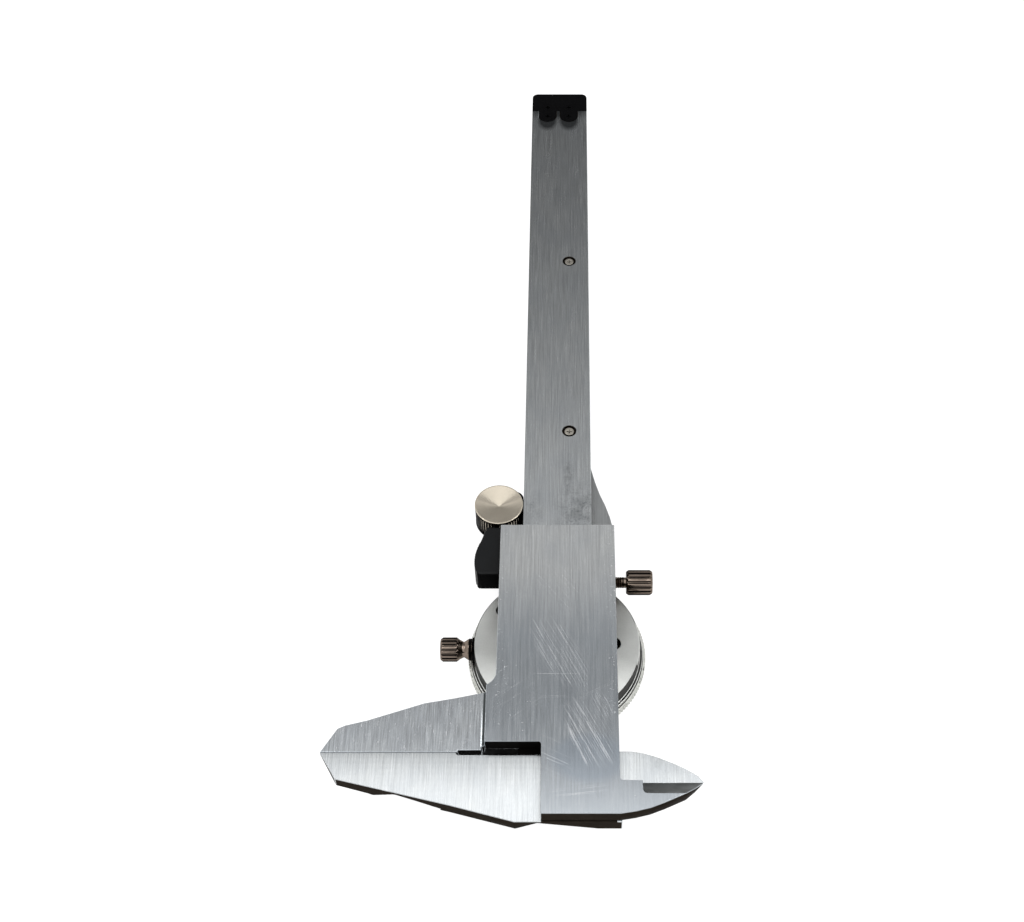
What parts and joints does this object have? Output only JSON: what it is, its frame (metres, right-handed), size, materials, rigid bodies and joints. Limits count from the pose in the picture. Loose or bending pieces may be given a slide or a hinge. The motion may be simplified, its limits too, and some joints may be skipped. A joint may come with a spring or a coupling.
{
  "type": "dial caliper",
  "caption": "Six-inch dial caliper with outside and inside jaws, rack-driven dial, turning bezel, thumb roller, slide lock and depth rod.",
  "frame": {"origin": "zero line of the fixed outside jaw, on the beam's centre line, in the plane of the beam's back face", "axes": "+Y along the beam, away from the jaws; +X towards the inside jaws; +Z out of the beam's back, so the dial faces -Z"},
  "size_m": [0.0805, 0.2335, 0.0173],
  "materials": {
    "satin_stainless": "ground and satin brushed along the beam",
    "satin_chrome": "satin chrome plated, turned",
    "dark_nickel": "knurled and dark nickel plated",
    "warm_nickel": "turned and nickel plated",
    "screw_steel": "turned screw steel",
    "brass": "cut brass",
    "spring_steel": "blued spring steel",
    "black_metal": "matt black oxide",
    "black_plastic": "moulded black plastic",
    "dial_enamel": "white printed dial",
    "needle_black": "matt black",
    "crystal_clear": "clear acrylic"
  },
  "bodies": {
    "beam": {"beam": "satin_stainless", "rack": "satin_stainless", "rack_screws": "screw_steel", "end_stop": "black_metal", "end_stop_screws": "black_metal", "rod_keeper": "black_metal", "rod_keeper_screws": "black_metal"},
    "slider": {"slider": "satin_stainless", "gib": "brass", "gib_screws": "screw_steel", "front_plate": "satin_stainless", "front_plate_screws": "screw_steel", "dial_case": "satin_chrome", "case_screws": "screw_steel", "pinion_bush": "brass", "gear_bridge": "brass", "bridge_screws": "screw_steel", "hairspring": "spring_steel", "bezel_spring": "spring_steel", "bezel_clamp": "black_metal", "depth_rod": "satin_stainless", "depth_rod_block": "brass", "depth_rod_rivet": "screw_steel", "thumb_rest": "black_plastic", "thumb_rest_screw": "screw_steel", "roller_bracket": "black_metal", "roller_bracket_screws": "screw_steel", "roller_pin": "screw_steel"},
    "rack_arbor": {"rack_pinion": "brass", "transfer_gear": "brass"},
    "needle_arbor": {"centre_pinion": "brass", "needle": "needle_black"},
    "take_up_arbor": {"take_up_gear": "brass"},
    "bezel": {"bezel": "satin_chrome", "dial_face": "dial_enamel", "crystal_spacer": "black_plastic", "crystal": "crystal_clear"},
    "roller": {"thumb_roller": "warm_nickel"},
    "slide_lock": {"slide_lock_screw": "dark_nickel"},
    "bezel_lock": {"bezel_lock_screw": "dark_nickel"}
  },
  "joints": [
    {"name": "slider_slide", "type": "slide", "parent": "beam", "child": "slider", "axis": [0, 1, 0], "range_m": [0, 0.1524]},
    {"name": "rack_pinion_spin", "type": "hinge", "parent": "slider", "child": "rack_arbor", "pos_m": [-0.00094, 0.0384, -0.0025], "axis": [0, 0, 1], "range_deg": [-3605, 5]},
    {"name": "needle_spin", "type": "hinge", "parent": "slider", "child": "needle_arbor", "pos_m": [0, 0.0297, -0.008], "axis": [0, 0, 1], "range_deg": [-10, 21615]},
    {"name": "take_up_spin", "type": "hinge", "parent": "slider", "child": "take_up_arbor", "pos_m": [0.00094, 0.021, -0.008], "axis": [0, 0, 1], "range_deg": [-3605, 5]},
    {"name": "roller_spin", "type": "hinge", "parent": "slider", "child": "roller", "pos_m": [-0.0138, 0.0647, -0.002], "axis": [0, 0, 1], "range_deg": [-1537, 5]},
    {"name": "bezel_turn", "type": "hinge", "parent": "slider", "child": "bezel", "pos_m": [0, 0.0297, -0.0115], "axis": [0, 0, 1], "continuous": true},
    {"name": "slide_lock_turn", "type": "hinge", "parent": "slider", "child": "slide_lock", "pos_m": [0.01875, 0.0442, -0.0018], "axis": [1, 0, 0], "range_deg": [0, 270]},
    {"name": "bezel_lock_turn", "type": "hinge", "parent": "slider", "child": "bezel_lock", "pos_m": [-0.0245, 0.0293, -0.00665], "axis": [1, 0, 0], "range_deg": [0, 270]}
  ],
  "couplings": [
    {"joint": "rack_pinion_spin", "follows": "slider_slide", "rad_per_m": -412.28},
    {"joint": "needle_spin", "follows": "slider_slide", "rad_per_m": 2473.7},
    {"joint": "take_up_spin", "follows": "slider_slide", "rad_per_m": -412.28},
    {"joint": "roller_spin", "follows": "slider_slide", "rad_per_m": -175.44}
  ]
}
